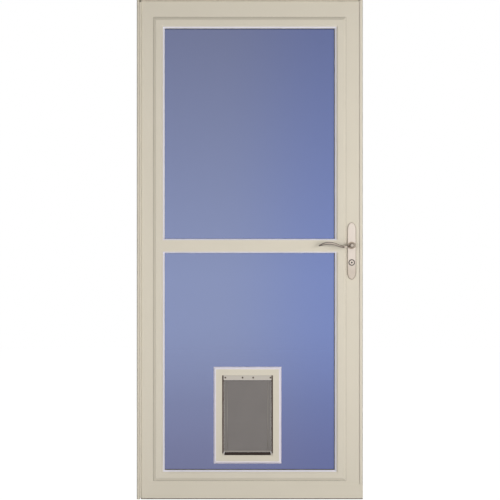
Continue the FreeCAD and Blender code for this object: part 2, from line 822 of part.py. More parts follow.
def lock_body():
    """Both lock plates, the key cylinder between them and the plate in the leaf's edge."""
    spindle_bore = (lock_x, lever_height, spindle_radius + spindle_clearance)
    cylinder_bore = (lock_x, cylinder_height, cylinder_radius)
    tail_bore = (lock_x, cylinder_height, tail_radius + spindle_clearance)
    lock_plate("outside_escutcheon", front_face, outside_plate_face, [spindle_bore, cylinder_bore])
    lock_plate("inside_escutcheon", back_face, inside_plate_face, [spindle_bore, tail_bore])
    cylinder = prism(
        "lock_cylinder", "XZ", outside_plate_face - cylinder_projection, back_face,
        circles=[(lock_x, cylinder_height, cylinder_radius)],
    )
    plug_bore = [(lock_x, cylinder_height, plug_radius + plug_clearance)]
    cut(cylinder, "XZ", outside_plate_face - cylinder_projection, back_face, circles=plug_bore)
    plate = prism(
        "lock_face_plate", "YZ", leaf_right - leaf_wall, leaf_right, [face_plate_outline()],
    )
    middle = (front_face + back_face) / 2
    half = bolt_width / 2
    for centre, height in ((lever_height, latch_bolt_height), (cylinder_height, dead_bolt_height)):
        bolt = rectangle(middle - half, middle + half, centre - height / 2, centre + height / 2)
        add(plate, "YZ", leaf_right, leaf_right + bolt_projection, [bolt])


def oval_wire(centre, across, upright, half_across, half_upright):
    """A closed many-sided oval about centre, from two unit directions and the two half axes.

    Ovals of the same proportions in parallel planes loft to flat facets, which keeps the lever light.
    """
    turns = [2 * math.pi * i / OVAL_SIDES for i in range(OVAL_SIDES)]
    corners = [
        centre + across * (half_across * math.cos(turn)) + upright * (half_upright * math.sin(turn))
        for turn in turns
    ]
    return Part.makePolygon(corners + corners[:1])


def lever_rise(run):
    """Height of the arm's centre line at a distance from the hub: a dip, then a longer crest."""
    if run < lever_dip_length.value:
        return -lever_dip.value * math.sin(math.pi * run / lever_dip_length.value)
    return lever_crest.value * math.sin(math.pi * (run - lever_dip_length.value) / lever_crest_length.value)


def lever_swell(share):
    """The arm's section at a share of its length: fullest at the crest, slimmer at the root and the tip."""
    if share < CREST_SHARE:
        return 1 - ROOT_SLIMMING * (1 - share / CREST_SHARE) ** 2
    slim = 1 - TIP_SLIMMING * ((share - CREST_SHARE) / (1 - CREST_SHARE)) ** 2
    return slim * math.sqrt(1 - TIP_CLOSING * share ** TIP_ROUNDING)


def oval_loft(rings):
    """Straight-sided solid through ovals about the spindle, given as (centre, half width, half height)."""
    along = FreeCAD.Vector(-1, 0, 0)
    up = FreeCAD.Vector(0, 0, 1)
    return Part.makeLoft([oval_wire(centre, along, up, *halves) for centre, *halves in rings], True, True)


def lever(label, face, outward):
    """A wave lever: an oval hub on the plate, a round neck and a swept arm that thins to its tip.

    face is the lock plate's front and outward the way the lever stands.
    """
    shaft = FreeCAD.Vector(0, outward, 0)
    up = FreeCAD.Vector(0, 0, 1)
    along = FreeCAD.Vector(-1, 0, 0)
    base = FreeCAD.Vector(lock_x.value, face.value + outward * hub_gap.value, lever_height.value)
    hub_top = base + shaft * hub_depth.value
    arm_base = base + shaft * lever_stand_off.value
    boss_end = arm_base + shaft * (lever_depth.value / 2)
    wide = hub_width.value / 2
    tall = hub_height.value / 2
    neck = neck_radius.value
    tip = neck * BOSS_TAPER
    shoulder = (1 + neck / tall) / 2
    hub = oval_loft([(base, wide, tall), (hub_top, wide * shoulder, tall * shoulder)])
    stem = oval_loft([(hub_top, neck, neck), (arm_base, neck, neck)])
    boss = oval_loft([(arm_base, neck, neck), (boss_end, tip, tip)])
    sections = []
    for step in range(LEVER_STATIONS + 1):
        share = step / LEVER_STATIONS
        run = lever_length.value * share
        swell = lever_swell(share)
        centre = arm_base + along * run + up * lever_rise(run)
        half_deep = lever_depth.value / 2 * swell
        half_thick = lever_thickness.value / 2 * swell
        sections.append(oval_wire(centre, shaft, up, half_deep, half_thick))
    arm = Part.makeLoft(sections, True, True)
    solid = hub.fuse([stem, boss, arm]).removeSplitter()
    bore = Part.makeCylinder(spindle_radius.value, hub_depth.value, base, shaft)
    feature = doc.addObject("Part::Feature", label)
    feature.Shape = solid.cut(bore)
    feature.Label = label
    pieces.append(feature)


def levers():
    """Levers outside and inside on one spindle."""
    lever("outside_lever", outside_plate_face, -1)
    lever("inside_lever", inside_plate_face, 1)
    reach = hub_gap + hub_depth
    spindle = [(lock_x, lever_height, spindle_radius)]
    low = outside_plate_face - reach
    prism("lever_spindle", "XZ", low, inside_plate_face + reach, circles=spindle)


def lock_turn():
    """The slotted key plug outside, whose tail turns with the thumb turn inside."""
    plug_face = outside_plate_face - cylinder_projection - plug_projection
    centre = (lock_x, cylinder_height)
    plug = prism("key_plug", "XZ", plug_face, back_face, circles=[(*centre, plug_radius)])
    add(plug, "XZ", back_face, inside_plate_face + hub_gap, circles=[(*centre, tail_radius)])
    slot = rectangle(
        lock_x - key_slot_width / 2,
        lock_x + key_slot_width / 2,
        cylinder_height - key_slot_height / 2,
        cylinder_height + key_slot_height / 2,
    )
    cut(plug, "XZ", plug_face, plug_face + key_slot_depth, [slot])
    seat = inside_plate_face + hub_gap
    thumb = prism("thumb_turn", "XZ", seat, seat + hub_depth, circles=[(*centre, cylinder_radius)])
    wing = rectangle(
        lock_x - thumb_thickness / 2,
        lock_x + thumb_thickness / 2,
        cylinder_height - thumb_width / 2,
        cylinder_height + thumb_width / 2,
    )
    add(thumb, "XZ", seat + hub_depth, seat + thumb_depth, [wing])


z_bar("hinge_side_z_bar", outer_left, hinge_web_face, leaf_left + stop_overlap, 1)
z_bar("latch_side_z_bar", outer_right, latch_web_face, leaf_right - stop_overlap, -1)
header()
weatherstrips()
hinge()
leaf_frame()
insert_frame()
mid_rail()
glazing()
expander()
pet_frame()
flap()
lock_body()
levers()
lock_turn()
doc.recompute()

faults = [o.Name for o in doc.Objects if {"Invalid", "Error"} & set(o.State)]
faults += [p.Label for p in pieces if p.Shape.isNull() or not p.Shape.isValid() or not p.Shape.Solids]
if faults:
    raise RuntimeError(f"failed objects: {faults}")
for piece in pieces:
    piece.Shape.exportStep(f"parts/{piece.Label}.step")
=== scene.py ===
"""Aluminium storm door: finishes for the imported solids, and the small pieces that dress them.

Metres, +Z up, outside toward -Y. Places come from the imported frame, and sizes below are in millimetres
times MM.
"""

import bmesh
import bpy
import json
import math
import numpy as np
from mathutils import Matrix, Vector


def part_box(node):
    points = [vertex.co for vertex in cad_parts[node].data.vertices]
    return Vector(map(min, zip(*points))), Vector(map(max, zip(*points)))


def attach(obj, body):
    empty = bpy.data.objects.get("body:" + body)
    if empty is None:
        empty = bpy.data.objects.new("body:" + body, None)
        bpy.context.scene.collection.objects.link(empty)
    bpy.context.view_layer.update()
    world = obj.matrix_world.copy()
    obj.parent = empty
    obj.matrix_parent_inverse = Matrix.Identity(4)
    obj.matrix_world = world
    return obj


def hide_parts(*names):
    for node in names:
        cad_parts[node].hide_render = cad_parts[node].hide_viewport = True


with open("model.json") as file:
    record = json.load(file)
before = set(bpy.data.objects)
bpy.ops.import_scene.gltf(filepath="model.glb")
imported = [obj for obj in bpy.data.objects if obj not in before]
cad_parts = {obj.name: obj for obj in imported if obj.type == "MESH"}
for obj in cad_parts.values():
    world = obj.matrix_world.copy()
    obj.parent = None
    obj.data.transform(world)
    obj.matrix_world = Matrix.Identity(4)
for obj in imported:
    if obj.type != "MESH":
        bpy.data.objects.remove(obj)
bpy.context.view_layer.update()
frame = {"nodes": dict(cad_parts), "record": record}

MM = 0.001
FULL_TURN = 2 * math.pi
X_AXIS, Y_AXIS, Z_AXIS = range(3)

# Degrees past which the edges of extruded trim stay crisp
CRISP = 20

# Levers: the arm's centre line dips by the hub and then crests, as the solid's does
DIP_LENGTH = 56 * MM
DIP = 6.5 * MM
CREST_LENGTH = 73 * MM
CREST = 9.0 * MM
ARM_DEPTH = 15 * MM
ARM_THICKNESS = 10.5 * MM
ARM_STAND_OFF = 34.3 * MM
CREST_SHARE = 0.65
ROOT_SLIMMING = 0.56
TIP_SLIMMING = 0.4
TIP_ROUNDING = 24
ARM_ROOT = 8 * MM
LEVER_VOXEL = 0.7 * MM
LEVER_SMOOTHING = 8

# Levers' hub, in mm as (distance from the plate, half width, half height)
HUB = (
    (0.3, 0.0, 0.0), (0.3, 16.6, 13.6), (0.9, 17.0, 14.0), (4.0, 16.8, 13.8), (6.5, 15.5, 12.8),
    (8.6, 13.0, 11.4), (10.5, 11.0, 10.2), (14.0, 9.4, 9.4), (24.0, 9.0, 9.0), (33.0, 9.3, 9.3),
    (38.0, 9.0, 8.8), (40.5, 7.0, 6.8), (41.7, 3.5, 3.4), (41.9, 0.0, 0.0),
)

# Painted highlights on the levers: the leaf's middle plane, how far from it the highlighted faces stand,
# and the thumb's place
LEAF_MIDDLE = 9 * MM
CREST_REACH = 66 * MM
ROSETTE_REACH = 32 * MM
THUMB_DIP = 838 * MM

# Lock plates, as (inset from the outline in mm, share of the thickness)
PLATE_EDGE = ((0.0, 0.0), (0.0, 0.55), (0.5, 0.78), (1.6, 0.93), (3.2, 1.0), (5.0, 1.02))
GASKET_EDGE = ((-0.9, 0.0), (-0.9, 0.1), (-0.5, 0.14), (1.0, 0.14))
PLATE_END = 30 * MM

# Panes: how far they reach behind their surround, the bevels beside them, and the edge before the glass
PANE_BITE = 9 * MM
INSERT_BEVEL = 12 * MM
MID_RAIL_BEVEL = 8 * MM
SIGHT_EDGE = 1 * MM

# Side flanges: room at the ends of the strips on them, and over the bottom expander's lap
END_ROOM = 0.2 * MM
LAP_ROOM = 0.6 * MM

# Lamps, as (name, place, size in metres, power in watts), all turned toward one point
LAMP_AIM = (0.45, 0, 1.0)
LAMPS = (
    ("key", (2.5, -2.7, 1.15), 1.5, 64),
    ("left_fill", (-1.3, -2.7, 1.0), 0.8, 27),
    ("back_fill", (-1.5, 3.5, 2.2), 2.0, 110),
)

# Camera, for a frame of 500 by 500 that is 2.024 m wide at the door's face
CAMERA_DISTANCE = 8.0
FRAME_WIDTH = 2.024
FRAME_CENTRE = (0.4525, 1.0085)
SENSOR = 36.0


def linear(code):
    """An sRGB hex colour as linear red, green, blue and alpha."""
    share = np.array([int(code[i:i + 2], 16) for i in (1, 3, 5)]) / 255
    value = np.where(share <= 0.04045, share / 12.92, ((share + 0.055) / 1.055) ** 2.4)
    return (*value.tolist(), 1.0)


def add_node(tree, kind, inputs=(), **settings):
    """Add one node with its settings, and give its inputs values or links from other nodes' outputs."""
    node = tree.nodes.new(kind)
    for name, value in settings.items():
        setattr(node, name, value)
    for name, value in dict(inputs).items():
        if isinstance(value, bpy.types.NodeSocket):
            tree.links.new(value, node.inputs[name])
        else:
            node.inputs[name].default_value = value
    return node


def new_finish(name, **values):
    """A material with a Principled shader, its node tree and the object's own coordinates."""
    finish = bpy.data.materials.new(name)
    finish.use_nodes = True
    tree = finish.node_tree
    tree.nodes.clear()
    inputs = {key.replace("_", " "): value for key, value in values.items()}
    shader = add_node(tree, "ShaderNodeBsdfPrincipled", inputs)
    add_node(tree, "ShaderNodeOutputMaterial", {"Surface": shader.outputs["BSDF"]})
    place = add_node(tree, "ShaderNodeTexCoord").outputs["Object"]
    return finish, tree, shader, place


def mottled(tree, place, shader, size, dark, light, rough_low, rough_high, detail=3.0):
    """Blotches of the given size that move the colour between two hex values and the roughness with it."""
    blotch = add_node(tree, "ShaderNodeTexNoise", {"Vector": place, "Scale": 1 / size, "Detail": detail})
    fac = blotch.outputs["Fac"]
    tone = add_node(
        tree, "ShaderNodeMixRGB", {"Fac": fac, "Color1": linear(dark), "Color2": linear(light)}
    )
    rough = add_node(
        tree, "ShaderNodeMapRange", {"Value": fac, "To Min": rough_low, "To Max": rough_high}
    )
    tree.links.new(tone.outputs["Color"], shader.inputs["Base Color"])
    tree.links.new(rough.outputs["Result"], shader.inputs["Roughness"])
    return tone


def bumped(tree, shader, height, strength, distance):
    """Relief on the shader from a height output."""
    bump = add_node(
        tree, "ShaderNodeBump", {"Height": height, "Strength": strength, "Distance": distance}
    )
    tree.links.new(bump.outputs["Normal"], shader.inputs["Normal"])


def powder_coat():
    """Almond polyester powder coat on extruded aluminium: an even satin with faint orange peel.

    The peel is about 2.5 mm from crest to crest, and its tone drifts slightly over a hand's width.
    """
    finish, tree, shader, place = new_finish("almond_powder_coat", IOR=1.5)
    mottled(tree, place, shader, 180 * MM, "#d6cebd", "#dbd3c2", 0.40, 0.48)
    peel = add_node(tree, "ShaderNodeTexNoise", {"Vector": place, "Scale": 1 / (2.5 * MM), "Detail": 1.0})
    bumped(tree, shader, peel.outputs["Fac"], 0.12, 0.15 * MM)
    return finish


def moulded_vinyl():
    """Rigid almond PVC of the glazing beads: matt, with a fine moulded grain of about 1 mm."""
    finish, tree, shader, place = new_finish("moulded_almond_vinyl", IOR=1.52)
    mottled(tree, place, shader, 90 * MM, "#d3cabb", "#dcd4c6", 0.5, 0.6)
    grain = add_node(tree, "ShaderNodeTexNoise", {"Vector": place, "Scale": 1 / (1.0 * MM), "Detail": 2.0})
    bumped(tree, shader, grain.outputs["Fac"], 0.15, 0.08 * MM)
    return finish


def tinted_glass():
    """Blue-tinted float glass: clear and smooth, with painted shade that deepens its tone toward the top
    and the foot of the door.

    The painted tone blends up the door, and painted light turns it a little bluer toward the latch side. A
    film of about 50 mm patches leaves it barely less than smooth.
    """
    # Painted shade: darker toward the foot and the head; painted light: bluer toward the latch side
    foot_low, foot_high = 100 * MM, 750 * MM
    head_low, head_high = 900 * MM, 2000 * MM
    latch_low, latch_high = 300 * MM, 820 * MM
    finish, tree, shader, place = new_finish("blue_tinted_glass", IOR=1.5, Transmission_Weight=1.0)
    axes = add_node(tree, "ShaderNodeSeparateXYZ", {"Vector": place})
    height = axes.outputs["Z"]
    foot = add_node(
        tree, "ShaderNodeMapRange", {"Value": height, "From Min": foot_low, "From Max": foot_high},
        interpolation_type="SMOOTHSTEP",
    )
    head = add_node(
        tree, "ShaderNodeMapRange", {"Value": height, "From Min": head_low, "From Max": head_high}
    )
    lower = add_node(
        tree, "ShaderNodeMixRGB",
        {"Fac": foot.outputs["Result"], "Color1": linear("#666b95"), "Color2": linear("#818dbb")},
    )
    upper = add_node(
        tree, "ShaderNodeMixRGB",
        {"Fac": head.outputs["Result"], "Color1": lower.outputs["Color"], "Color2": linear("#636a91")},
    )
    latch_side = add_node(
        tree, "ShaderNodeMapRange",
        {"Value": axes.outputs["X"], "From Min": latch_low, "From Max": latch_high},
        interpolation_type="SMOOTHSTEP",
    )
    cast = add_node(
        tree, "ShaderNodeMixRGB",
        {"Fac": latch_side.outputs["Result"], "Color1": linear("#fffff8"), "Color2": linear("#e2edff")},
    )
    tone = add_node(
        tree, "ShaderNodeMixRGB",
        {"Fac": 1.0, "Color1": upper.outputs["Color"], "Color2": cast.outputs["Color"]},
        blend_type="MULTIPLY",
    )
    tree.links.new(tone.outputs["Color"], shader.inputs["Base Color"])
    film = add_node(tree, "ShaderNodeTexNoise", {"Vector": place, "Scale": 1 / (50 * MM), "Detail": 2.0})
    rough = add_node(
        tree, "ShaderNodeMapRange", {"Value": film.outputs["Fac"], "To Min": 0.0, "To Max": 0.02}
    )
    tree.links.new(rough.outputs["Result"], shader.inputs["Roughness"])
    return finish


def brushed_metal(name, dark, light, rough_low, rough_high, stretch, lower_shade=None):
    """Metal brushed along one axis: hairlines about 0.4 mm apart that shift tone and roughness.

    stretch scales the object's axes, so the small number lies along the brushing. lower_shade, where given,
    is (low height, high height, colour): painted shade that leaves the metal's tone above the high height
    and darkens it to that colour below the low one.
    """
    finish, tree, shader, place = new_finish(name, Metallic=0.85)
    along = add_node(tree, "ShaderNodeMapping", {"Vector": place, "Scale": stretch})
    hair = along.outputs["Vector"]
    tone = mottled(tree, hair, shader, 0.4 * MM, dark, light, rough_low, rough_high, 4.0)
    # Painted shade: the metal takes a darker colour toward its foot
    if lower_shade:
        low, high, cast = lower_shade
        height = add_node(tree, "ShaderNodeSeparateXYZ", {"Vector": place}).outputs["Z"]
        share = add_node(tree, "ShaderNodeMapRange", {"Value": height, "From Min": high, "From Max": low})
        shaded = add_node(
            tree, "ShaderNodeMixRGB",
            {"Fac": share.outputs["Result"], "Color1": tone.outputs["Color"], "Color2": linear(cast)},
        )
        tree.links.new(shaded.outputs["Color"], shader.inputs["Base Color"])
    line = add_node(tree, "ShaderNodeTexNoise", {"Vector": hair, "Scale": 1 / (0.4 * MM), "Detail": 2.0})
    bumped(tree, shader, line.outputs["Fac"], 0.15, 0.05 * MM)
    return finish


def highlighted_nickel():
    """Dark nickel of the levers, brushed along the arm, with painted highlights where light would catch it.

    The outer crests, the rosette's face and the dip where the thumb rests are painted pale as highlights,
    and the flanks stay dark. Hairlines are about 0.4 mm apart. Each row below is (axis, centre, reach,
    none, full, colour): the highlight is full where the distance from the centre comes near the reach, and
    none further.
    """
    finish, tree, shader, place = new_finish("dark_nickel_painted_highlights", Metallic=0.85)
    along = add_node(tree, "ShaderNodeMapping", {"Vector": place, "Scale": (0.03, 1, 1)})
    tone = mottled(
        tree, along.outputs["Vector"], shader, 0.4 * MM, "#54483e", "#6c6055", 0.25, 0.38, 4.0
    )
    axes = add_node(tree, "ShaderNodeSeparateXYZ", {"Vector": place})
    # Painted highlights: pale bands on the crests, the rosette's face and the thumb's dip
    for axis, centre, reach, none, full, pale in (
        ("Y", LEAF_MIDDLE, CREST_REACH, 3 * MM, 0.2 * MM, "#cbbfb2"),
        ("Y", LEAF_MIDDLE, ROSETTE_REACH, 7 * MM, 4 * MM, "#b8ac9e"),
        ("X", THUMB_DIP, 0, 8 * MM, 3 * MM, "#ddd2c5"),
    ):
        distance = axes.outputs[axis]
        for start in (centre, reach):
            offset = add_node(tree, "ShaderNodeMath", {0: distance, 1: start}, operation="SUBTRACT")
            size = add_node(tree, "ShaderNodeMath", {0: offset.outputs[0]}, operation="ABSOLUTE")
            distance = size.outputs[0]
        highlight = add_node(
            tree, "ShaderNodeMapRange", {"Value": distance, "From Min": none, "From Max": full}
        )
        tone = add_node(
            tree, "ShaderNodeMixRGB",
            {"Fac": highlight.outputs["Result"], "Color1": tone.outputs["Color"], "Color2": linear(pale)},
        )
    tree.links.new(tone.outputs["Color"], shader.inputs["Base Color"])
    return finish


def flap_vinyl(name, dark, light):
    """Flexible grey vinyl of the flap: smoky, with a soft satin skin."""
    finish, tree, shader, place = new_finish(name, IOR=1.5)
    mottled(tree, place, shader, 120 * MM, dark, light, 0.38, 0.5)
    skin = add_node(tree, "ShaderNodeTexNoise", {"Vector": place, "Scale": 1 / (3 * MM), "Detail": 2.0})
    bumped(tree, shader, skin.outputs["Fac"], 0.12, 0.1 * MM)
    return finish


def dull_rubber(name, dark, light, grain):
    """Extruded rubbery vinyl or pile: matt, with a grain of the given size."""
    finish, tree, shader, place = new_finish(name, IOR=1.5)
    mottled(tree, place, shader, 20 * MM, dark, light, 0.75, 0.9)
    speck = add_node(tree, "ShaderNodeTexNoise", {"Vector": place, "Scale": 1 / grain, "Detail": 2.0})
    bumped(tree, shader, speck.outputs["Fac"], 0.3, 0.2 * MM)
    return finish


FINISHES = {
    "almond_paint": powder_coat(),
    "almond_vinyl": moulded_vinyl(),
    # Glass with painted shade toward its top and foot, and painted light that is bluer toward the latch
    # side
    "tinted_glass": tinted_glass(),
    # Satin nickel with painted shade on the lock plates' lower half, below 970 mm and darkest below 925 mm
    "satin_nickel": brushed_metal(
        "satin_nickel", "#e2d5c9", "#eee3d8", 0.34, 0.44, (1, 1, 0.03),
        (925 * MM, 970 * MM, "#d5c8ba"),
    ),
    # Dark nickel with painted highlights on the levers' crests, rosette faces and thumb dips
    "dark_nickel": highlighted_nickel(),
    "mill_aluminium": brushed_metal("mill_aluminium", "#beb7ad", "#cec7bd", 0.38, 0.48, (0.03, 1, 1)),
    "steel": brushed_metal("bright_zinc_steel", "#a9a7a2", "#bdbbb6", 0.28, 0.4, (1, 1, 0.05)),
    "flap_vinyl": flap_vinyl("smoke_grey_flap_vinyl", "#706b68", "#7c7774"),
    # Lighter vinyl of the flap's ribs: a painted highlight
    "flap_rib": flap_vinyl("flap_rib_vinyl_painted_highlight", "#858079", "#918c85"),
    "magnet_strip": dull_rubber("coated_magnet_strip", "#928b84", "#9e9790", 1 * MM),
    "sweep_vinyl": dull_rubber("sweep_vinyl", "#8d8378", "#9a9085", 1.5 * MM),
    "grey_pile": dull_rubber("grey_pile", "#5b5753", "#6d6863", 0.8 * MM),
    "brown_pile": dull_rubber("brown_pile", "#54463f", "#64554d", 0.8 * MM),
    "black_pile": dull_rubber("black_pile", "#2a211d", "#382e29", 0.8 * MM),
    "black_rubber": dull_rubber("black_rubber", "#211d1a", "#2c2723", 0.6 * MM),
    # Dark band behind the panes' edges: painted shade
    "painted_edge_shade": dull_rubber("butyl_glazing_tape", "#2c2734", "#37313f", 0.8 * MM),
    # Dark beads on the flanges' outer edges: painted shade
    "painted_flange_shade": dull_rubber("painted_flange_shade_grey", "#33312d", "#3f3c38", 2.0 * MM),
    # Darker gasket rim round the lock plates: a painted shadow outline
    "painted_shadow_gasket": dull_rubber("painted_shadow_rubber_gasket", "#4b433c", "#5a5149", 0.6 * MM),
    # Dark line at the insert's foot: painted shade
    "painted_shade_line": dull_rubber("painted_shade_line_brown", "#5a5347", "#676053", 1.0 * MM),
    # Pale lavender lips on the mid rail: a painted highlight
    "painted_highlight_mid_lip": dull_rubber("painted_highlight_mid_rail_vinyl", "#d9d6e0", "#e1dee8", 1.0 * MM),
    # Pale lip round the pet frame: a painted highlight
    "painted_highlight_lip": dull_rubber("painted_highlight_lip_vinyl", "#e7e0e9", "#f0eaf2", 1.0 * MM),
    # Pale lavender lip beside the panes: a painted highlight
    "painted_highlight_gasket": dull_rubber("painted_highlight_gasket_vinyl", "#e2dfe7", "#ebe8ef", 1.0 * MM),
}


def paint_solids():
    """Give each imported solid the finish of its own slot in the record."""
    for part in frame["record"]["subparts"]:
        mesh = frame["nodes"][part["node"]].data
        mesh.materials.clear()
        mesh.materials.append(FINISHES[part["material_slot"]])


def grid_faces(rows, columns, close_rows=False, close_columns=False):
    """Quads between neighbours on a grid of points, joined end to start where asked."""
    row, column = np.meshgrid(
        np.arange(rows - (not close_rows)), np.arange(columns - (not close_columns)), indexing="ij"
    )
    next_row = (row + 1) % rows
    next_column = (column + 1) % columns
    corners = (
        row * columns + column,
        row * columns + next_column,
        next_row * columns + next_column,
        next_row * columns + column,
    )
    return np.stack(corners, -1).reshape(-1, 4)


def copies(points, faces, places):
    """The same small shape at every place, as one set of points and faces."""
    places = np.asarray(places)
    moved = (places[:, None, :] + points[None]).reshape(-1, 3)
    steps = np.arange(len(places))[:, None, None] * len(points)
    return moved, (faces[None] + steps).reshape(-1, faces.shape[1])


def make_piece(name, shells, body, slot, finish=None, nodes=(), crease=None):
    """One piece from shells of (points, faces): doubles merged, normals outward, riding on a body.

    Edges sharper than crease, in degrees, stay crisp under the smooth shading.
    """
    starts = np.cumsum([0] + [len(points) for points, _ in shells])
    points = np.concatenate([points for points, _ in shells])
    faces = np.concatenate([faces + start for (_, faces), start in zip(shells, starts)])
    mesh = bpy.data.meshes.new(name)
    mesh.from_pydata(points.tolist(), [], faces.tolist())
    work = bmesh.new()
    work.from_mesh(mesh)
    bmesh.ops.remove_doubles(work, verts=work.verts, dist=1e-7)
    bmesh.ops.dissolve_degenerate(work, edges=work.edges, dist=1e-8)
    bmesh.ops.recalc_face_normals(work, faces=work.faces)
    work.to_mesh(mesh)
    work.free()
    mesh.materials.append(FINISHES[finish or slot])
    mesh.shade_smooth()
    if crease:
        mesh.set_sharp_from_angle(angle=math.radians(crease))
    piece = bpy.data.objects.new(name, mesh)
    bpy.context.scene.collection.objects.link(piece)
    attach(piece, body)
    if nodes:
        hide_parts(*nodes)
    return piece


def cast_as_one(piece):
    """Fuse a piece's shells into one skin on a fine voxel grid, then smooth it like a casting."""
    remesh = piece.modifiers.new("fuse", "REMESH")
    remesh.mode = "VOXEL"
    remesh.voxel_size = LEVER_VOXEL
    remesh.use_smooth_shade = True
    smooth = piece.modifiers.new("smooth", "SMOOTH")
    smooth.factor = 0.5
    smooth.iterations = LEVER_SMOOTHING
    seen = piece.evaluated_get(bpy.context.evaluated_depsgraph_get())
    fused = bpy.data.meshes.new_from_object(seen)
    piece.modifiers.clear()
    piece.data = fused


def lever(name, node, plate, outward):
    """A cast wave lever: a hub of ovals stacked along the spindle, and an arm.

    The arm is an oval section carried along the dip and crest, each half a sine wave. It stands square to
    its path, and is slimmer at the root and the tip than at the crest.
    """
    hub = np.array(HUB) * MM
    axis = (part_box("lever_spindle")[0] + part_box("lever_spindle")[1]) / 2
    plate_low, plate_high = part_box(plate)
    face = plate_low.y if outward < 0 else plate_high.y
    turn = np.linspace(0, FULL_TURN, 40, endpoint=False)
    hub_points = np.stack([
        axis.x + hub[:, 1:2] * np.cos(turn),
        face + outward * hub[:, 0:1] + 0 * turn,
        axis.z + hub[:, 2:3] * np.sin(turn),
    ], -1)
    length = axis.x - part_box(node)[0].x
    travel = np.linspace(0, length, 120)[:, None]
    rise = np.where(
        travel < DIP_LENGTH,
        -DIP * np.sin(math.pi * travel / DIP_LENGTH),
        CREST * np.sin(math.pi * (travel - DIP_LENGTH) / CREST_LENGTH),
    )
    slope = np.arctan(np.gradient(rise[:, 0], travel[:, 0]))[:, None]
    share = travel / length
    root = 1 - np.clip(1 - travel / ARM_ROOT, 0, 1) ** 2
    fullness = np.where(
        share < CREST_SHARE,
        1 - ROOT_SLIMMING * (1 - share / CREST_SHARE) ** 2,
        1 - TIP_SLIMMING * ((share - CREST_SHARE) / (1 - CREST_SHARE)) ** 2,
    )
    swell = fullness * np.sqrt((1 - share ** TIP_ROUNDING) * root)
    side = ARM_THICKNESS / 2 * swell * np.sin(turn)
    arm_points = np.stack([
        axis.x - travel + side * np.sin(slope),
        face + outward * ARM_STAND_OFF + ARM_DEPTH / 2 * swell * np.cos(turn),
        axis.z + rise + side * np.cos(slope),
    ], -1)
    shells = [
        (shape.reshape(-1, 3), grid_faces(*shape.shape[:2], close_columns=True))
        for shape in (hub_points, arm_points)
    ]
    cast_as_one(make_piece(name, shells, "lever_set", "dark_nickel", nodes=[node]))


def long_plate(node, outward, edge):
    """A long outline with half-oval ends, carried inward ring by ring, and closed down its middle line.

    Each ring is the outline moved in by an inset, and rises by the edge's share of the plate's thickness.
    The middle line stands higher by the share called crown.
    """
    segments = 96
    crown = 0.01
    low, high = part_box(node)
    seat, depth = (high.y, low.y - high.y) if outward < 0 else (low.y, high.y - low.y)
    half = (high.x - low.x) / 2
    centre = (low + high) / 2
    straight = (high.z - low.z) / 2 - PLATE_END
    turn = np.linspace(0, FULL_TURN, segments, endpoint=False) + math.pi / segments
    edge = np.array(((half / MM, edge[0][1]), *edge, (half / MM, edge[-1][1] + crown)))
    inset = edge[:, 0:1] * MM
    points = np.stack([
        centre.x + (half - inset) * np.cos(turn),
        seat + depth * edge[:, 1:2] + 0 * turn,
        centre.z + (PLATE_END - inset) * np.sin(turn) + straight * np.sign(np.sin(turn)),
    ], -1)
    return points.reshape(-1, 3), grid_faces(*points.shape[:2], close_columns=True)


def lock_plate(name, node, outward):
    """A pressed lock plate with a rolled edge, on a thin darker gasket whose rim shows round it as a
    painted shadow outline.
    """
    plate = long_plate(node, outward, PLATE_EDGE)
    gasket = long_plate(node, outward, GASKET_EDGE)
    make_piece(f"pressed_{name}_plate", [plate], "leaf", "satin_nickel", nodes=[node], crease=50)
    # The gasket's darker rim is a painted shadow outline round the plate
    make_piece(f"{name}_plate_gasket", [gasket], "leaf", "satin_nickel", "painted_shadow_gasket", crease=50)


def turned(profile, centre, axis_sign, segments=64):
    """A ring or knob turned about the Y axis: (radius, reach) pairs in mm, carried round a circle."""
    profile = np.array(profile) * MM
    turn = np.linspace(0, FULL_TURN, segments, endpoint=False)
    points = np.stack([
        centre[0] + profile[:, 0:1] * np.cos(turn),
        centre[1] + axis_sign * profile[:, 1:2] + 0 * turn,
        centre[2] + profile[:, 0:1] * np.sin(turn),
    ], -1)
    return points.reshape(-1, 3), grid_faces(*points.shape[:2], close_columns=True)


def screws(name, places, axis, sign, body, slot, radius, height):
    """Pan-head screws standing out along one axis: a dome over polar rings, closed by a flat back.

    The dome is the height times the root of one less the fourth power of the radius share. A cross
    sinks it by a share of the height, where either arm's distance, in half arm widths, is under about one.
    """
    rings = 11
    segments = 32
    cross_sink = 0.55
    cross_edge = 1.6
    arm = radius / 7
    reach = 3.2 * arm
    share = np.linspace(0, 1, rings)[:, None]
    turn = np.linspace(0, FULL_TURN, segments, endpoint=False)
    first = radius * share * np.cos(turn)
    second = radius * share * np.sin(turn)
    distance = np.minimum(
        np.maximum(np.abs(first) / arm, np.abs(second) / reach),
        np.maximum(np.abs(second) / arm, np.abs(first) / reach),
    )
    rise = height * (np.sqrt(1 - share ** 4) - cross_sink * np.clip(cross_edge - distance, 0, 1))
    shape = np.zeros((rings + 1, segments, 3))
    across, up = (other for other in range(3) if other != axis)
    shape[:rings, :, across] = first
    shape[:rings, :, up] = second
    shape[:rings, :, axis] = sign * rise
    faces = grid_faces(rings + 1, segments, close_columns=True)
    make_piece(name, [copies(shape.reshape(-1, 3), faces, places)], body, slot)


